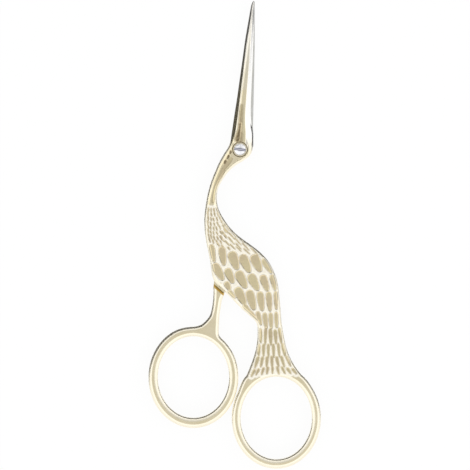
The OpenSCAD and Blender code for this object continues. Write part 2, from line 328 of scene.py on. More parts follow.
class Builder:
    """Gathers the points and faces of one mesh, in millimetres, with a finish for each face."""

    def __init__(self):
        self.points, self.faces, self.finish, self.count = [], [], [], 0
        # Marks for each point: the painted highlight on ridges and rims, bare steel, and where carving may
        # sink
        self.marks = {"ridge": [], "bare": [], "carvable": []}

    def add(self, xy, z, ridge=0.0, bare=0.0, carvable=0.0):
        z = np.broadcast_to(z, xy.shape[:-1])
        for label, values in (("ridge", ridge), ("bare", bare), ("carvable", carvable)):
            self.marks[label].append(np.broadcast_to(values, z.shape).ravel())
        self.points.append(np.concatenate([xy.reshape(-1, 2), z.reshape(-1, 1)], axis=1))
        self.count += z.size
        return self.count - z.size + np.arange(z.size).reshape(z.shape)

    def put(self, faces, finish=0):
        faces = np.asarray(faces)
        self.faces += faces.tolist()
        finish = np.broadcast_to(finish, (len(faces),))
        self.finish += finish.tolist()

    def wall(self, a, b, finish=0):
        """The faces between two rows of points with the same count."""
        self.put(np.stack([a[:-1], a[1:], b[1:], b[:-1]], axis=1), finish)

    def made(self, name):
        mesh = bpy.data.meshes.new(name)
        mesh.from_pydata((np.concatenate(self.points) * MM).tolist(), [], self.faces)
        mesh.polygons.foreach_set("material_index", np.array(self.finish, np.int32))
        for label, values in self.marks.items():
            mesh.attributes.new(label, "FLOAT", "POINT").data.foreach_set("value", np.concatenate(values))
        obj = bpy.data.objects.new(name, mesh)
        bpy.context.scene.collection.objects.link(obj)
        merge_and_orient(obj)
        return obj


GOLD, STEEL = 0, 1
WELD = 1e-7
CARVE_FROM, CARVE_EASE = 0.28, 0.35
STEEL_FROM = 2.5
RAMP_ROWS, RAMP_RISE = 6, 1.2


def add_blank(build, blank, milled, face):
    """Adds a blank that is milled flat at a height face for as long as milled says."""
    blank.lay_out()
    lift = blank.lift(blank.plan, blank.share, blank.width, blank.height, blank.kind)
    plan = blank.plan
    n, m = lift.shape
    up = face > MIDDLE
    side = 1 if up else -1
    share = 1 - blank.share if blank.spine_right else blank.share
    bare = np.clip((share - BEVEL_FROM) / BARE_EASE, 0, 1) * np.interp(plan[..., 1], BARE_AT, (0, 1))
    bare = np.maximum(bare, np.interp(plan[..., 1], TIP_AT, TIP_BARE, 0))
    carvable = np.clip((blank.inset - CARVE_FROM) / CARVE_EASE, 0, 1)
    sculpted = build.add(plan, MIDDLE + side * lift, blank.rim_highlight, bare, carvable)
    cut = np.array([milled(p) for p in plan[:, m // 2]])
    edge = n - 1 if cut.all() else int(np.argmax(~cut))
    rise = 0 if up or cut.all() else RAMP_RISE
    ramp = np.clip((np.arange(edge + 1) - edge + RAMP_ROWS) / RAMP_ROWS, 0, 1) * rise
    flat = build.add(plan[:edge + 1][:, [0, -1]], np.stack([face + ramp] * 2, axis=1))

    build.put(quads(sculpted), GOLD)
    build.put(quads(flat), np.where(plan[:edge, 0, 1] > STEEL_FROM, STEEL, GOLD))
    for col in (0, -1):
        build.wall(sculpted[:edge + 1, col], flat[:, col])
    build.put([[*sculpted[0], flat[0, 1], flat[0, 0]]])
    if cut.all():
        build.put([[*sculpted[-1], flat[-1, 1], flat[-1, 0]]])
        return
    whole = build.add(plan[edge:], MIDDLE - side * lift[edge:], blank.rim_highlight[edge:])
    build.put(quads(whole))
    build.put([[*whole[0], flat[-1, 1], flat[-1, 0]]])
    for col in (0, -1):
        a, b = sculpted[edge:, col], whole[:, col]
        build.put([[a[0], a[1], b[1], b[0], flat[-1, col]]])
        build.wall(a[1:], b[1:])
    add_ring(build, blank, *((sculpted[-1], whole[-1]) if up else (whole[-1], sculpted[-1])), side)


def add_ring(build, blank, rung_up, rung_down, outer_side):
    """Adds a blank's finger ring to the last rows of its two sides."""
    plan = blank.ring_plan[:-1]
    ones = np.ones(plan.shape[:2])
    inwards = ones * np.linspace(0, 1, plan.shape[1])
    lift = blank.lift(plan, inwards, ones * RING_WIDTH, ones, ones * blank.ring_kind[:, None])
    m = len(rung_up)
    grids, rims = [], []
    for sign, rung in ((1, rung_up), (-1, rung_down)):
        z = MIDDLE + sign * lift
        carvable = np.clip((blank.inset - CARVE_FROM) / CARVE_EASE, 0, 1) * (sign == outer_side)
        outer = build.add(plan[m:, 0], z[m:, 0], blank.rim_highlight[m:, 0])
        inner = build.add(plan[:, 1:], z[:, 1:], blank.rim_highlight[:, 1:], 0, carvable[:, 1:])
        grid = np.concatenate([np.concatenate([rung, outer])[:, None], inner], axis=1)
        grid = np.concatenate([grid, grid[:1]])
        build.put(quads(grid))
        grids.append(grid)
        rims.append(np.concatenate([[rung[-1]], outer, [rung[0]]]))
    build.wall(grids[0][:, -1], grids[1][:, -1])
    build.wall(rims[0], rims[1])


def merge_and_orient(obj):
    """Welds points that coincide and turns every face outward."""
    bm = bmesh.new()
    bm.from_mesh(obj.data)
    bmesh.ops.remove_doubles(bm, verts=bm.verts, dist=WELD)
    bmesh.ops.recalc_face_normals(bm, faces=bm.faces)
    bm.to_mesh(obj.data)
    bm.free()


def lathe(name, line, sides=96):
    """A closed turned solid from its (radius, height) line, in millimetres."""
    turn = np.linspace(0, 2 * math.pi, sides, endpoint=False)
    points, faces = [], []
    for r, z in line:
        points += [(r * math.cos(t) * MM, r * math.sin(t) * MM, z * MM) for t in turn]
    for i in range(len(line) - 1):
        for j in range(sides):
            k = (j + 1) % sides
            faces.append((i * sides + j, i * sides + k, (i + 1) * sides + k, (i + 1) * sides + j))
    faces.append(tuple(range(sides))[::-1])
    faces.append(tuple((len(line) - 1) * sides + j for j in range(sides)))
    mesh = bpy.data.meshes.new(name)
    mesh.from_pydata(points, [], faces)
    obj = bpy.data.objects.new(name, mesh)
    bpy.context.scene.collection.objects.link(obj)
    return obj


def cut_away(obj, cutter):
    """Takes the cutter's space out of the object, and the cutter with it."""
    mod = obj.modifiers.new("cut", "BOOLEAN")
    mod.operation = "DIFFERENCE"
    mod.solver = "EXACT"
    mod.object = cutter
    settle(obj)
    bpy.data.objects.remove(cutter)


def settle(obj):
    """Turns the object with its modifiers into a plain mesh."""
    graph = bpy.context.evaluated_depsgraph_get()
    graph.update()
    made = bpy.data.meshes.new_from_object(obj.evaluated_get(graph))
    obj.modifiers.clear()
    old = obj.data
    obj.data = made
    bpy.data.meshes.remove(old)


# Carving in pixels of the photograph
# One feather: x, y, length, breadth and lean in degrees
# One row: left, middle and right centre, number, length, breadth, and lean of the first and the last
BIG_FEATHERS = [
    (212.7, 253.2, 17.5, 4.6, 10), (222.8, 256, 18.5, 6.2, 8), (234.2, 260.6, 18.5, 8.3, 20),
    (245.7, 263.6, 19, 7.9, 25), (256.8, 263.2, 18, 8.2, 24), (267.6, 265.6, 16.5, 6, 31),
    (218.5, 271.8, 18.5, 7.2, 30), (230, 275.8, 15.5, 6.6, 25), (241.8, 279.6, 18.5, 8, 27),
    (254, 282.2, 17.5, 7.6, 27), (264.9, 283, 16.5, 6.4, 19), (273.4, 282.4, 15.5, 4.4, 14),
    (227.8, 285.8, 8.5, 5, 28), (231.8, 294.2, 9.5, 3.2, 42), (240.8, 296, 18.5, 7.6, 27),
    (251.5, 300, 20, 7.2, 16), (261, 301.2, 19, 5.9, 8), (269.2, 301.4, 19, 4.8, 5),
    (276, 300.4, 18, 3.3, 2),
    (247, 308.4, 10, 3.4, 42), (253.3, 315.8, 11.5, 3.1, 38), (259.2, 318.2, 13.5, 3.6, 16),
    (265.4, 320.6, 15.5, 3.8, 7), (270.9, 320.7, 15.5, 3.3, 3), (276.4, 319.8, 15.5, 2.9, 2),
]
SMALL_FEATHERS = [
    ((208.3, 209.5), (212.5, 210.5), (216.8, 209.5), 4, 3.8, 0.8, 0, 12),
    ((207.8, 213.7), (212.8, 214.7), (218, 213.7), 4, 3.8, 0.8, 4, 18),
    ((208.3, 218), (213.8, 219.3), (219.7, 217.6), 5, 3.8, 0.8, 6, 24),
    ((207.7, 222.2), (214, 224), (221.3, 221.7), 5, 3.9, 0.8, 6, 28),
    ((208.4, 226.5), (215, 228.5), (223.3, 226), 6, 4, 0.8, 8, 32),
    ((208, 231), (215.5, 233.4), (225.2, 231), 6, 4, 0.8, 8, 34),
    ((208.8, 235.6), (216, 238), (225, 236.3), 6, 4.2, 0.9, 10, 34),
    ((210, 240.2), (215, 242), (221, 241.8), 4, 4.2, 1, 12, 30),
]
LEG_FEATHERS = [
    ((260.4, 335.5), (270.5, 337), (280.2, 336), 5, 15.5, 2.9, 2, 4),
    ((258.5, 350), (271, 350.5), (284, 349.5), 6, 13, 2.6, -4, 12),
    ((256.5, 362), (272, 361.5), (288, 361), 7, 11.5, 2.4, -16, 24),
    ((253, 372.6), (272.5, 370), (294.5, 371.4), 9, 7.8, 2.2, -32, 42),
]
STRANDS = [
    ((226.5, 226.5), (240.5, 238.3), (257.5, 249), 5, 9.2, 0.7, 38, 45),
    ((226.5, 231), (238, 241.2), (254.5, 251.5), 5, 9, 0.8, 40, 47),
    ((224.5, 234), (234.5, 243.4), (246.5, 251), 4, 8.6, 0.8, 40, 48),
    ((222, 238.5), (229.5, 244.6), (238.5, 249), 4, 7, 0.9, 38, 48),
    ((218.5, 244.5), (222.5, 246), (228.5, 248), 3, 3.5, 1.2, 30, 40),
]
# The neck marks, the neck's shade streaks, the beak's cleft and its gape are shallow sinks whose floors
# carry painted shade
NECK_MARKS = [((230.3, 152), (228, 157), (225, 162), 3, 4, 1.4, -24, -30)]
NECK_SHADE = [(226.5, 165, 16, 1.4, -36), (219.8, 178.5, 18, 1.4, -26), (214.6, 194, 16, 1.4, -13)]
BEAK_CLEFT = [(240.6, 119, 26, 1, 176), (239, 136, 11, 5, 174)]
BEAK_GAPE = [(237.9, 136.5, 9, 2.6, 168), (239.3, 130, 13, 1, 172)]

# Depth, width of the walls, painted shade on the floors and strength of the painted highlight near the
# ridges of each kind of carving
BIG_CUT, SMALL_CUT, STRAND_CUT = (0.19, 0.26, 0.05, 1), (0.1, 0.23, 0.38, 1), (0.1, 0.24, 0.32, 1)
LEG_CUT = (0.1, 0.23, 0.24, 1)
MARK_CUT, SHADE_CUT = (0.12, 0.25, 0.85, 0), (0.03, 0.5, 0.14, 0)
CLEFT_CUT, GAPE_CUT = (0.06, 0.7, 0.45, 0), (0.08, 0.5, 0.85, 0)
LEAF_FULL, LEAF_TAPER = 2.8, 0.64
LEAF_SIDES = 20
# How far from a feather its painted highlight starts to fade and where it ends, in millimetres
RIDGE_NEAR, RIDGE_FAR = 0.6, 1.1

# How uneven the feathers of a row are: place in pixels, lean in degrees, shares of breadth and length
UNEVEN_SEED = 5
UNEVEN_PLACE, UNEVEN_LEAN, UNEVEN_BREADTH, UNEVEN_LENGTH = 0.3, 5, 0.15, 0.1


def feather_points(name, rows):
    """A mesh of points, one to a feather, that carry its lean, length and breadth.

    A row is either one feather or the eight values of a whole row, whose feathers are not quite even.
    """
    uneven = np.random.default_rng(UNEVEN_SEED)
    places, lean, size = [], [], []
    rows = [row if len(row) == 8 else (row[:2], row[:2], row[:2], 1, *row[2:], row[4]) for row in rows]
    for left, middle, right, count, long, broad, first, last in rows:
        for t in np.linspace(0, 1, count):
            a, b, c = np.array(left), np.array(middle), np.array(right)
            p = a * (1 - t) * (1 - 2 * t) + b * 4 * t * (1 - t) + c * t * (2 * t - 1)
            off = uneven.uniform(-1, 1, 5) * (count > 1)
            p = p + UNEVEN_PLACE * off[:2]
            places.append(((p[0] - PIXEL_X) * PIXEL * MM, (PIXEL_Y - p[1]) * PIXEL * MM, 0))
            lean.append((0, 0, math.radians(first + (last - first) * t + UNEVEN_LEAN * off[2])))
            size.append((broad * (1 + UNEVEN_BREADTH * off[3]) * PIXEL * MM,
                         long * (1 + UNEVEN_LENGTH * off[4]) * PIXEL * MM, 1))
    mesh = bpy.data.meshes.new(name)
    mesh.from_pydata(places, [], [])
    for label, values in (("lean", lean), ("size", size)):
        mesh.attributes.new(label, "FLOAT_VECTOR", "POINT").data.foreach_set("vector", np.ravel(values))
    obj = bpy.data.objects.new(name, mesh)
    bpy.context.scene.collection.objects.link(obj)
    return obj


def feather_tree():
    """Sinks leaf-shaped floors into a surface at the feather points, with rounded ridges between."""
    tree = bpy.data.node_groups.new("feather_carving", "GeometryNodeTree")
    face = tree.interface
    face.new_socket("Half", in_out="INPUT", socket_type="NodeSocketGeometry")
    face.new_socket("Feathers", in_out="INPUT", socket_type="NodeSocketObject")
    # Among the inputs are the painted shade on the sunk floors and the strength of the painted highlight
    # near the feathers
    for label in ("Depth", "Wall", "Side", "Grime", "Ridge", "Ridge Near", "Ridge Far"):
        face.new_socket(label, in_out="INPUT", socket_type="NodeSocketFloat")
    face.new_socket("Plating", in_out="INPUT", socket_type="NodeSocketMaterial")
    face.new_socket("Half", in_out="OUTPUT", socket_type="NodeSocketGeometry")
    nodes, links = tree.nodes, tree.links
    given, out = nodes.new("NodeGroupInput"), nodes.new("NodeGroupOutput")

    def value(operation, a, b=0.0, c=None):
        n = nodes.new("ShaderNodeMath")
        n.operation = operation
        plug(n, 0, a)
        plug(n, 1, b)
        if c is not None:
            plug(n, 2, c)
        return n.outputs[0]

    def plug(n, socket, source):
        if isinstance(source, bpy.types.NodeSocket):
            links.new(source, n.inputs[socket])
        else:
            n.inputs[socket].default_value = source

    def combine(x, y, z):
        n = nodes.new("ShaderNodeCombineXYZ")
        for k, part in enumerate((x, y, z)):
            plug(n, k, part)
        return n.outputs[0]

    def split(source):
        n = nodes.new("ShaderNodeSeparateXYZ")
        links.new(source, n.inputs[0])
        return n.outputs

    def stored(label, kind="FLOAT"):
        n = nodes.new("GeometryNodeInputNamedAttribute")
        n.data_type = kind
        n.inputs["Name"].default_value = label
        return n.outputs[0]

    leaf = nodes.new("GeometryNodeMeshCircle")
    leaf.fill_type = "NGON"
    leaf.inputs["Vertices"].default_value = LEAF_SIDES
    leaf.inputs["Radius"].default_value = 0.5
    place = nodes.new("GeometryNodeInputPosition").outputs[0]
    x, y, _ = split(place)
    powers = [value("POWER", value("ABSOLUTE", value("MULTIPLY", k, 2.0)), LEAF_FULL) for k in (x, y)]
    corner = value("ADD", *powers)
    fuller = value("POWER", corner, -1 / LEAF_FULL)
    x, y = value("MULTIPLY", x, fuller), value("MULTIPLY", y, fuller)
    taper = value("MULTIPLY_ADD", y, LEAF_TAPER, 1.0)
    shaped = nodes.new("GeometryNodeSetPosition")
    links.new(leaf.outputs[0], shaped.inputs["Geometry"])
    links.new(combine(value("MULTIPLY", x, taper), y, 0.0), shaped.inputs["Position"])

    info = nodes.new("GeometryNodeObjectInfo")
    links.new(given.outputs["Feathers"], info.inputs["Object"])
    turn = nodes.new("FunctionNodeEulerToRotation")
    links.new(stored("lean", "FLOAT_VECTOR"), turn.inputs[0])
    spread = nodes.new("GeometryNodeInstanceOnPoints")
    links.new(info.outputs["Geometry"], spread.inputs["Points"])
    links.new(shaped.outputs[0], spread.inputs["Instance"])
    links.new(turn.outputs[0], spread.inputs["Rotation"])
    links.new(stored("size", "FLOAT_VECTOR"), spread.inputs["Scale"])
    leaves = nodes.new("GeometryNodeRealizeInstances")
    links.new(spread.outputs[0], leaves.inputs[0])

    near = nodes.new("GeometryNodeProximity")
    near.target_element = "FACES"
    px, py, _ = split(place)
    links.new(leaves.outputs[0], near.inputs[0])
    links.new(combine(px, py, 0.0), near.inputs["Sample Position"])

    def falling(start, end):
        n = nodes.new("ShaderNodeMapRange")
        n.interpolation_type = "SMOOTHSTEP"
        links.new(near.outputs["Distance"], n.inputs["Value"])
        plug(n, "From Min", start)
        plug(n, "From Max", end)
        n.inputs["To Min"].default_value = 1
        n.inputs["To Max"].default_value = 0
        return n.outputs[0]

    carvable = stored("carvable")
    sunk = value("MULTIPLY", falling(0.0, given.outputs["Wall"]), carvable)
    # The painted highlight near the feathers, fading out between Ridge Near and Ridge Far
    beyond = falling(given.outputs["Ridge Near"], given.outputs["Ridge Far"])
    ridge = value("MULTIPLY", beyond, given.outputs["Ridge"])
    drop = value("MULTIPLY", value("MULTIPLY", sunk, given.outputs["Depth"]), given.outputs["Side"])
    lowered = nodes.new("GeometryNodeSetPosition")
    links.new(given.outputs["Half"], lowered.inputs["Geometry"])
    links.new(combine(0.0, 0.0, value("MULTIPLY", drop, -1.0)), lowered.inputs["Offset"])

    # Stores how far each point sank, the painted shade on the sunk floors and the painted highlight near the
    # feathers
    marked = lowered
    grime = value("MULTIPLY", sunk, given.outputs["Grime"])
    for label, amount in (("carved", sunk), ("grime", grime), ("ridge", value("MULTIPLY", ridge, carvable))):
        mark = nodes.new("GeometryNodeStoreNamedAttribute")
        mark.data_type = "FLOAT"
        mark.domain = "POINT"
        mark.inputs["Name"].default_value = label
        links.new(marked.outputs[0], mark.inputs["Geometry"])
        links.new(value("MAXIMUM", stored(label), amount), mark.inputs["Value"])
        marked = mark
    whole = nodes.new("GeometryNodeRealizeInstances")
    links.new(marked.outputs[0], whole.inputs[0])
    plated = nodes.new("GeometryNodeInputMaterialIndex")
    same = nodes.new("FunctionNodeCompare")
    same.data_type = "INT"
    same.operation = "EQUAL"
    links.new(plated.outputs[0], same.inputs[2])
    same.inputs[3].default_value = GOLD
    coat = nodes.new("GeometryNodeSetMaterial")
    links.new(whole.outputs[0], coat.inputs["Geometry"])
    links.new(same.outputs[0], coat.inputs["Selection"])
    links.new(given.outputs["Plating"], coat.inputs["Material"])
    links.new(coat.outputs[0], out.inputs[0])
    return tree


def carve(obj, rows, label, cut, upward):
    """Carves rows of feathers into a half's outer side and leaves a plain mesh."""
    points = feather_points(label + "_feather_points", rows)
    mod = obj.modifiers.new("feathers", "NODES")
    mod.node_group = bpy.data.node_groups.get("feather_carving") or feather_tree()
    # A cut gives the depth, the wall width, the painted shade on the floors and the painted highlight near
    # the ridges
    depth, wall, grime, ridge = cut
    given = {"Feathers": points, "Depth": depth * MM, "Wall": wall * MM, "Side": 1.0 if upward else -1.0,
             "Grime": float(grime), "Ridge": float(ridge), "Ridge Near": RIDGE_NEAR * MM,
             "Ridge Far": RIDGE_FAR * MM, "Plating": gold}
    for item in mod.node_group.interface.items_tree:
        if item.in_out == "INPUT" and item.name in given:
            mod[item.identifier] = given[item.name]
    settle(obj)
    bpy.data.objects.remove(points)


# Radius and height down the stepped hole with the bead and groove round the screw's head, and the screw
PIVOT_CUT = [
    (0.01, -1), (1.29, -1), (1.29, 2.75), (1.66, 2.75), (1.66, 3.4), (1.69, 3.48), (1.75, 3.53),
    (1.82, 3.53), (1.88, 3.47), (1.91, 3.36), (1.94, 3.3), (2.0, 3.28), (2.05, 3.32), (2.09, 3.45),
    (2.14, 3.62), (2.14, 5), (0.01, 5),
]
THREAD_CUT = [(0.01, -1), (0.95, -1), (0.95, 3), (0.01, 3)]
SCREW = [
    (0.01, 0.1), (0.8, 0.1), (0.95, 0.25), (0.95, 1.76), (1.25, 1.76), (1.25, 2.78), (1.5, 2.78),
    (1.6, 2.84), (1.6, 3.08), (1.56, 3.14),
]
AXIS_GAP = 0.01
DOME_R, DOME_FOOT, DOME_TOP, DOME_STEPS = 1.5, 3.18, 3.58, 14
SLOT_REACH = 3
SLOT_TOP, SLOT_FOOT, SLOT_DEPTH, SLOT_TURN = 0.76, 0.56, 0.6, -8
# Half width of the lighter strip along the middle of the slot's painted shade
SLOT_SHINE = 0.15


def make_screw():
    """The shoulder screw with its domed head and tapering slot."""
    dome = [(DOME_R * (1 - t) + AXIS_GAP * t, DOME_TOP - (DOME_TOP - DOME_FOOT) * (1 - t) ** 2)
            for t in np.linspace(0, 1, DOME_STEPS)]
    obj = lathe("pivot_screw_slotted", SCREW + dome)
    merge_and_orient(obj)
    bm = bmesh.new()
    for half, level in ((SLOT_FOOT / 2, 0), (SLOT_TOP / 2, SLOT_DEPTH), (SLOT_TOP / 2, 1)):
        for x, y in ((-SLOT_REACH, -half), (SLOT_REACH, -half), (SLOT_REACH, half), (-SLOT_REACH, half)):
            bm.verts.new((x, y, level))
    v = list(bm.verts)
    bm.faces.new(v[3::-1])
    bm.faces.new(v[8:])
    for k in (0, 4):
        for i in range(4):
            j = (i + 1) % 4
            bm.faces.new((v[k + i], v[k + j], v[k + 4 + j], v[k + 4 + i]))
    turn = Matrix.Rotation(math.radians(SLOT_TURN), 4, "Z")
    place = Matrix.Translation((0, 0, (DOME_TOP - SLOT_DEPTH) * MM)) @ turn @ Matrix.Scale(MM, 4)
    bmesh.ops.transform(bm, matrix=place, verts=bm.verts)
    mesh = bpy.data.meshes.new("slot")
    bm.to_mesh(mesh)
    bm.free()
    slot = bpy.data.objects.new("slot", mesh)
    bpy.context.scene.collection.objects.link(slot)
    cut_away(obj, slot)
    return obj


def make_front():
    """The upper half, with the carving that the photograph shows."""
    rows = smooth(FRONT_BLADE + NECK + BODY + TAIL + LEG)
    build = Builder()
    add_blank(build, Blank(rows, row_gap, RIGHT_RING), lambda p: np.hypot(*p) < LEG_R, FRONT_FACE)
    obj = build.made("front_half_sculpted")
    add_metals(obj)
    carve(obj, BIG_FEATHERS, "big", BIG_CUT, True)
    carve(obj, SMALL_FEATHERS, "small", SMALL_CUT, True)
    carve(obj, LEG_FEATHERS, "leg", LEG_CUT, True)
    carve(obj, STRANDS, "strand", STRAND_CUT, True)
    carve(obj, NECK_MARKS, "mark", MARK_CUT, True)
    carve(obj, NECK_SHADE, "shade", SHADE_CUT, True)
    carve(obj, BEAK_CLEFT, "cleft", CLEFT_CUT, True)
    carve(obj, BEAK_GAPE, "gape", GAPE_CUT, True)
    cut_away(obj, lathe("pivot_cut", PIVOT_CUT))
    return obj


def make_back():
    """The lower half, carved on its underside, and the shank that rises beside it."""
    hidden = smooth(BACK_BLADE + drawn_in(NECK + BODY + HIDDEN_TAIL, HIDDEN_INSET).tolist())
    bird = Blank(hidden, row_gap, None, True)
    shank = Blank(smooth(SHANK_ROOT + SHANK), row_gap, LEFT_RING)
    a, b = np.array(SHANK[0][0:2]), np.array(SHANK[0][2:4])
    across = np.array([-(b - a)[1], (b - a)[0]])

    def above_shoulder(p):
        return np.dot(p - a, across) > 0

    bird_build, shank_build = Builder(), Builder()
    add_blank(bird_build, bird, lambda p: True, BACK_FACE)
    add_blank(shank_build, shank, above_shoulder, BACK_FACE - ROOT_SUNK)
    obj = bird_build.made("back_half_sculpted")
    add_metals(obj)
    carve(obj, BIG_FEATHERS, "big", BIG_CUT, False)
    carve(obj, SMALL_FEATHERS, "small", SMALL_CUT, False)
    carve(obj, STRANDS, "strand", STRAND_CUT, False)
    cut_away(obj, lathe("thread_cut", THREAD_CUT))
    take_in(obj, shank_build.made("shank"))
    return obj


def take_in(obj, other):
    """Joins another object's mesh to an object's."""
    bm = bmesh.new()
    bm.from_mesh(obj.data)
    bm.from_mesh(other.data)
    bm.to_mesh(obj.data)
    bm.free()
    bpy.data.objects.remove(other)


def plain_metal(name, colour, roughness):
    mat = bpy.data.materials.new(name)
    mat.use_nodes = True
    shader = mat.node_tree.nodes["Principled BSDF"]
    shader.inputs["Base Color"].default_value = (*colour, 1)
    shader.inputs["Metallic"].default_value = 1
    shader.inputs["Roughness"].default_value = roughness
    return mat


# Painted shade in the groove round the screw's head: its radius, half width, and how far under the top it
# begins
GROOVE_R, GROOVE_HALF, GROOVE_UNDER = 2.0, 0.12, 0.06
# Strength of the painted shade in the creases at the feet of carved walls, and extra roughness on the
# highlighted ridges
CREASE_SHADE, RIDGE_MATT = 1.8, 0.4
# How far under the dome's foot the slot's painted shade begins, and the density of the turned rings
SLOT_UNDER = 0.06
TURNED_LINES = 42000.0


class Shades:
    """Short ways to add nodes to a material."""

    def __init__(self, mat):
        self.nodes, self.links = mat.node_tree.nodes, mat.node_tree.links
        self.shader = self.nodes["Principled BSDF"]
        self.spot = self.nodes.new("ShaderNodeTexCoord").outputs["Object"]

    def plug(self, socket, source):
        if isinstance(source, bpy.types.NodeSocket):
            self.links.new(source, socket)
        else:
            socket.default_value = source

    def value(self, operation, a, b=0.0, c=0.0):
        n = self.nodes.new("ShaderNodeMath")
        n.operation = operation
        for k, part in enumerate((a, b, c)):
            self.plug(n.inputs[k], part)
        return n.outputs[0]

    def mark(self, label):
        n = self.nodes.new("ShaderNodeAttribute")
        n.attribute_name = label
        return n.outputs["Fac"]

    def blend(self, amount, a, b):
        """Colour a turning into colour b."""
        n = self.nodes.new("ShaderNodeMix")
        n.data_type = "RGBA"
        for socket, source in ((0, amount), (6, a), (7, b)):
            self.plug(n.inputs[socket], source)
        return n.outputs[2]

    def noise(self, scale, detail=2.0, stretch=(1, 1, 1), lean=0.0):
        """Noise in metres, squeezed by stretch along each axis."""
        place = self.nodes.new("ShaderNodeMapping")
        place.inputs["Rotation"].default_value = (0, 0, math.radians(lean))
        place.inputs["Scale"].default_value = stretch
        self.links.new(self.spot, place.inputs["Vector"])
        n = self.nodes.new("ShaderNodeTexNoise")
        n.inputs["Scale"].default_value = scale
        n.inputs["Detail"].default_value = detail
        self.links.new(place.outputs[0], n.inputs["Vector"])
        return n.outputs[0]

    def span(self, source, low, high, start=0.0, end=1.0):
        n = self.nodes.new("ShaderNodeMapRange")
        parts = {"Value": source, "From Min": start, "From Max": end, "To Min": low, "To Max": high}
        for label, part in parts.items():
            self.plug(n.inputs[label], part)
        return n.outputs[0]

    def axes(self):
        n = self.nodes.new("ShaderNodeSeparateXYZ")
        self.links.new(self.spot, n.inputs[0])
        return n.outputs[0], n.outputs[1], n.outputs[2]

    def from_axis(self):
        """Distance from the pivot axis, in metres."""
        n = self.nodes.new("ShaderNodeVectorMath")
        n.operation = "MULTIPLY"
        self.links.new(self.spot, n.inputs[0])
        n.inputs[1].default_value = (1, 1, 0)
        length = self.nodes.new("ShaderNodeVectorMath")
        length.operation = "LENGTH"
        self.links.new(n.outputs[0], length.inputs[0])
        return length.outputs["Value"]

    def bump(self, height, depth, strength=1.0):
        n = self.nodes.new("ShaderNodeBump")
        n.inputs["Strength"].default_value = strength
        n.inputs["Distance"].default_value = depth
        self.links.new(height, n.inputs["Height"])
        self.links.new(n.outputs[0], self.shader.inputs["Normal"])


def gold_plate():
    """Pale gold plating: polished, with a creamy painted highlight on the ridges and rims, satin and olive
    in the carved floors, with painted shade in the carved hollows, creases and the groove round the screw.
    """
    mat = plain_metal("champagne_gold", (0.93, 0.83, 0.58), 0.2)
    light_plate, dark_plate = (0.94, 0.84, 0.6, 1), (0.9, 0.8, 0.54, 1)
    light_floor, dark_floor = (0.9, 0.79, 0.5, 1), (0.84, 0.71, 0.47, 1)
    # The painted highlight colour, bare steel, and the colour of the painted shade
    painted_highlight_colour, bare, painted_shade_colour = (1.0, 0.96, 0.85, 1), (0.93, 0.92, 0.9, 1), (0.2, 0.145, 0.075, 1)
    made = Shades(mat)
    carved = made.mark("carved")
    # The painted highlight on ridges and rims, kept off the carved floors
    uncarved = made.value("SUBTRACT", 1.0, made.value("POWER", carved, 2.0))
    pale = made.value("MULTIPLY", made.mark("ridge"), uncarved)
    cloud = made.span(made.noise(230, 1), 0.0, 1.0, 0.35, 0.65)
    plate = made.blend(cloud, light_plate, dark_plate)
    floor = made.blend(cloud, light_floor, dark_floor)
    colour = made.blend(pale, made.blend(carved, plate, floor), painted_highlight_colour)
    colour = made.blend(made.mark("bare"), colour, bare)
    # Painted shade in the groove round the screw's head, below the top
    groove = made.value("COMPARE", made.from_axis(), GROOVE_R * MM, GROOVE_HALF * MM)
    deep = made.value("LESS_THAN", made.axes()[2], (THICK - GROOVE_UNDER) * MM)
    speckle = made.span(made.noise(1500, 2), 0.7, 1.15, 0.3, 0.7)
    # Painted shade in the creases, strongest halfway down each carved wall
    crease_shade = made.value("MULTIPLY", carved, made.value("SUBTRACT", 1.0, carved))
    grime = made.value("MAXIMUM", made.mark("grime"), made.value("MULTIPLY", crease_shade, CREASE_SHADE))
    grime = made.value("MAXIMUM", made.value("MULTIPLY", groove, deep), grime)
    # Painted shade from the carved floors, the creases and the groove, mottled by fine noise, darkens the
    # colour
    grime = made.value("MULTIPLY", grime, speckle)
    made.links.new(made.blend(grime, colour, painted_shade_colour), made.shader.inputs["Base Color"])
    grain = made.noise(900, 3)
    hairs = made.noise(700, 2, (1, 14, 1), 12)
    rough = made.value("ADD", made.span(grain, 0.12, 0.2), made.span(hairs, 0.0, 0.08, 0.4, 0.7))
    rough = made.value("MULTIPLY_ADD", made.value("POWER", pale, 3.0), RIDGE_MATT, rough)
    made.links.new(rough, made.shader.inputs["Roughness"])
    made.bump(made.value("ADD", grain, made.value("MULTIPLY", hairs, 0.6)), 0.00001, 0.8)
    return mat


def ground_steel():
    """Bare steel with the fine lines that a grinding belt leaves across it."""
    mat = plain_metal("ground_steel", (0.72, 0.72, 0.70), 0.25)
    made = Shades(mat)
    lines = made.noise(1200, 3, (0.08, 4, 1), 24)
    cloud = made.span(made.noise(260, 2), 0.0, 1.0, 0.35, 0.65)
    colour = made.blend(cloud, (0.76, 0.76, 0.74, 1), (0.66, 0.66, 0.62, 1))
    made.links.new(colour, made.shader.inputs["Base Color"])
    made.links.new(made.span(lines, 0.2, 0.42), made.shader.inputs["Roughness"])
    made.bump(lines, 0.000012, 0.8)
    return mat


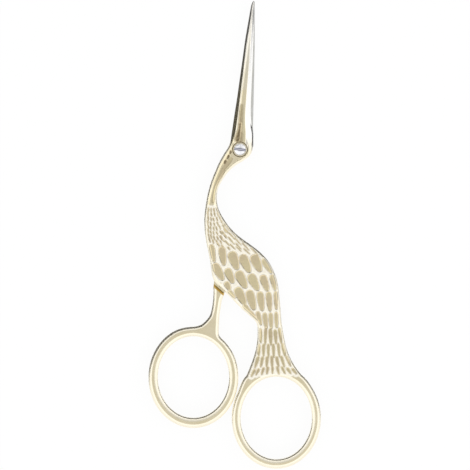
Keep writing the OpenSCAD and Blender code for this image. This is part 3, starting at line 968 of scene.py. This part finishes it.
def nickel_plate():
    """The screw's bright plating, with turned rings on its head and painted shade in its slot, lighter in
    the middle.
    """
    mat = plain_metal("bright_nickel", (0.88, 0.88, 0.9), 0.16)
    bright, dull = (0.92, 0.92, 0.94, 1), (0.74, 0.74, 0.76, 1)
    # Painted shade in the slot: darker at the walls, lighter along the floor
    slot_wall_painted_shade, slot_floor_painted_shade = (0.27, 0.27, 0.34, 1), (0.72, 0.72, 0.8, 1)
    made = Shades(mat)
    x, y, z = made.axes()
    across = made.value("ADD", made.value("MULTIPLY", x, -math.sin(math.radians(SLOT_TURN))),
                        made.value("MULTIPLY", y, math.cos(math.radians(SLOT_TURN))))
    in_slot = made.value("MULTIPLY", made.value("COMPARE", across, 0.0, SLOT_TOP / 2 * MM),
                         made.value("LESS_THAN", z, (DOME_FOOT - SLOT_UNDER) * MM))
    rings = made.value("SINE", made.value("MULTIPLY", made.from_axis(), TURNED_LINES))
    cloud = made.noise(1400, 2)
    colour = made.blend(made.span(cloud, 0.0, 1.0, 0.4, 0.62), bright, dull)
    shine = made.value("COMPARE", across, 0.0, SLOT_SHINE * MM)
    slot = made.blend(shine, slot_wall_painted_shade, slot_floor_painted_shade)
    made.links.new(made.blend(in_slot, colour, slot), made.shader.inputs["Base Color"])
    made.links.new(made.span(cloud, 0.12, 0.3), made.shader.inputs["Roughness"])
    made.bump(rings, 0.0000015, 0.6)
    return mat


gold = gold_plate()
steel = ground_steel()
nickel = nickel_plate()


def add_metals(obj):
    """Gives a half its plating and its bare steel, in the order of GOLD and STEEL."""
    for mat in (gold, steel):
        obj.data.materials.append(mat)


front = make_front()
back = make_back()
screw = make_screw()
screw.data.materials.append(nickel)
SHARP_FROM = math.radians(32)
PIECES = ((front, "front", "front_half"), (back, "back", "back_half"), (screw, "back", "pivot_screw"))
for obj, body, node in PIECES:
    obj.data.shade_smooth()
    obj.data.set_sharp_from_angle(angle=SHARP_FROM)
    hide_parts(node)
    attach(obj, body)


# The stage, in metres
FLOOR_HALF, FLOOR_GLOW = 3.0, 0.93
SCREEN_R, SCREEN_STEPS, SCREEN_GLOW = 0.4, 44, 0.07
SCREEN_AT = [-15, 0, 10, 35, 60, 130, 170, 185, 200]
SCREEN_TOPS = [0.01, 0.09, 0.115, 0.22, 0.27, 0.33, 0.24, 0.12, 0.01]
DIM_LEAN = math.radians(10)
STUDIO_STRENGTH = 1.15
STUDIO_LEVELS = ((0.0, 0.87), (0.3, 0.87), (0.5, 1.0), (0.9, 1.0), (0.966, 0.56))
LAMP_AIM = (0, -0.02, 0)
CAMERA_DISTANCE = 0.9


def emission(name, colour, strength):
    mat = bpy.data.materials.new(name)
    mat.use_nodes = True
    nodes, links = mat.node_tree.nodes, mat.node_tree.links
    nodes.clear()
    out = nodes.new("ShaderNodeOutputMaterial")
    glow = nodes.new("ShaderNodeEmission")
    glow.inputs["Color"].default_value = (*colour, 1)
    glow.inputs["Strength"].default_value = strength
    links.new(glow.outputs[0], out.inputs["Surface"])
    return mat


def make_floor():
    """A pale floor that the camera and the metal see as white, with a faint shadow."""
    mesh = bpy.data.meshes.new("floor")
    corners = [(x * FLOOR_HALF, y * FLOOR_HALF, 0) for x, y in ((-1, -1), (1, -1), (1, 1), (-1, 1))]
    mesh.from_pydata(corners, [], [(0, 1, 2, 3)])
    obj = bpy.data.objects.new("floor", mesh)
    bpy.context.scene.collection.objects.link(obj)
    mat = bpy.data.materials.new("pale_floor")
    mat.use_nodes = True
    nodes, links = mat.node_tree.nodes, mat.node_tree.links
    nodes.clear()
    out = nodes.new("ShaderNodeOutputMaterial")
    mix = nodes.new("ShaderNodeMixShader")
    plain = nodes.new("ShaderNodeBsdfDiffuse")
    plain.inputs["Color"].default_value = (0.86, 0.86, 0.86, 1)
    glow = nodes.new("ShaderNodeEmission")
    glow.inputs["Color"].default_value = (1, 1, 1, 1)
    glow.inputs["Strength"].default_value = 1
    path = nodes.new("ShaderNodeLightPath")
    total = nodes.new("ShaderNodeMath")
    total.operation = "ADD"
    total.use_clamp = True
    more = nodes.new("ShaderNodeMath")
    more.operation = "ADD"
    share = nodes.new("ShaderNodeMath")
    share.operation = "MULTIPLY"
    share.inputs[1].default_value = FLOOR_GLOW
    links.new(path.outputs["Is Camera Ray"], more.inputs[0])
    links.new(path.outputs["Is Glossy Ray"], more.inputs[1])
    links.new(more.outputs[0], total.inputs[0])
    links.new(path.outputs["Is Transmission Ray"], total.inputs[1])
    links.new(total.outputs[0], share.inputs[0])
    links.new(share.outputs[0], mix.inputs[0])
    links.new(plain.outputs[0], mix.inputs[1])
    links.new(glow.outputs[0], mix.inputs[2])
    links.new(mix.outputs[0], out.inputs["Surface"])
    mesh.materials.append(mat)


def make_screen():
    """A dark screen round the back and left, which only the metal sees."""
    turns = np.radians(np.linspace(SCREEN_AT[0], SCREEN_AT[-1], SCREEN_STEPS))
    tops = np.interp(np.degrees(turns), SCREEN_AT, SCREEN_TOPS)
    points = []
    for t, h in zip(turns, tops):
        points += [(SCREEN_R * math.cos(t), SCREEN_R * math.sin(t), z) for z in (0.0, h)]
    faces = [(2 * i, 2 * i + 2, 2 * i + 3, 2 * i + 1) for i in range(len(turns) - 1)]
    mesh = bpy.data.meshes.new("dark_screen")
    mesh.from_pydata(points, [], faces)
    obj = bpy.data.objects.new("dark_screen", mesh)
    bpy.context.scene.collection.objects.link(obj)
    mesh.materials.append(emission("dark_screen", (1, 1, 1), SCREEN_GLOW))
    obj.visible_camera = False
    obj.visible_diffuse = False
    obj.visible_shadow = False


def make_world():
    """A bright even studio with a dimmer patch overhead, a little to the back."""
    world = bpy.data.worlds.new("studio")
    bpy.context.scene.world = world
    world.use_nodes = True
    nodes, links = world.node_tree.nodes, world.node_tree.links
    nodes.clear()
    out = nodes.new("ShaderNodeOutputWorld")
    studio = nodes.new("ShaderNodeBackground")
    where = nodes.new("ShaderNodeTexCoord")
    height = nodes.new("ShaderNodeVectorMath")
    height.operation = "DOT_PRODUCT"
    height.inputs[1].default_value = (0, math.sin(DIM_LEAN), math.cos(DIM_LEAN))
    ramp = nodes.new("ShaderNodeValToRGB")
    studio.inputs["Strength"].default_value = STUDIO_STRENGTH
    stops = ramp.color_ramp.elements
    stops[0].position, stops[1].position = STUDIO_LEVELS[0][0], STUDIO_LEVELS[-1][0]
    for place, level in STUDIO_LEVELS[1:-1]:
        stops.new(place)
    for stop, (place, level) in zip(stops, STUDIO_LEVELS):
        stop.color = (level, level, level, 1)
    links.new(where.outputs["Generated"], height.inputs[0])
    links.new(height.outputs["Value"], ramp.inputs[0])
    links.new(ramp.outputs[0], studio.inputs["Color"])
    links.new(studio.outputs[0], out.inputs["Surface"])


def make_lamp(name, place, size, power):
    """A soft lamp that the metal doesn't mirror, aimed at the scissors."""
    light = bpy.data.lights.new(name, "AREA")
    light.shape = "RECTANGLE"
    light.size, light.size_y = size
    light.energy = power
    obj = bpy.data.objects.new(name, light)
    bpy.context.scene.collection.objects.link(obj)
    obj.visible_glossy = False
    obj.location = place
    obj.rotation_euler = (Vector(LAMP_AIM) - Vector(place)).to_track_quat("-Z", "Y").to_euler()


def make_camera():
    """The photograph's straight top view, at its scale."""
    data = bpy.data.cameras.new("camera")
    obj = bpy.data.objects.new("camera", data)
    bpy.context.scene.collection.objects.link(obj)
    data.sensor_width = 36
    data.lens = data.sensor_width * CAMERA_DISTANCE / (PHOTO_SIZE * PIXEL * MM)
    data.clip_end = 10
    middle = PHOTO_SIZE / 2
    obj.location = ((middle - PIXEL_X) * PIXEL * MM, (PIXEL_Y - middle) * PIXEL * MM,
                    CAMERA_DISTANCE + THICK * MM)
    bpy.context.scene.camera = obj


make_floor()
make_screen()
make_world()
make_lamp("softbox_front", (0.0, -0.75, 0.45), (1.0, 0.45), 1.6)
make_lamp("softbox_right", (0.75, 0.0, 0.47), (0.7, 0.34), 0.9)
make_camera()
bpy.context.scene.view_settings.view_transform = "Standard"
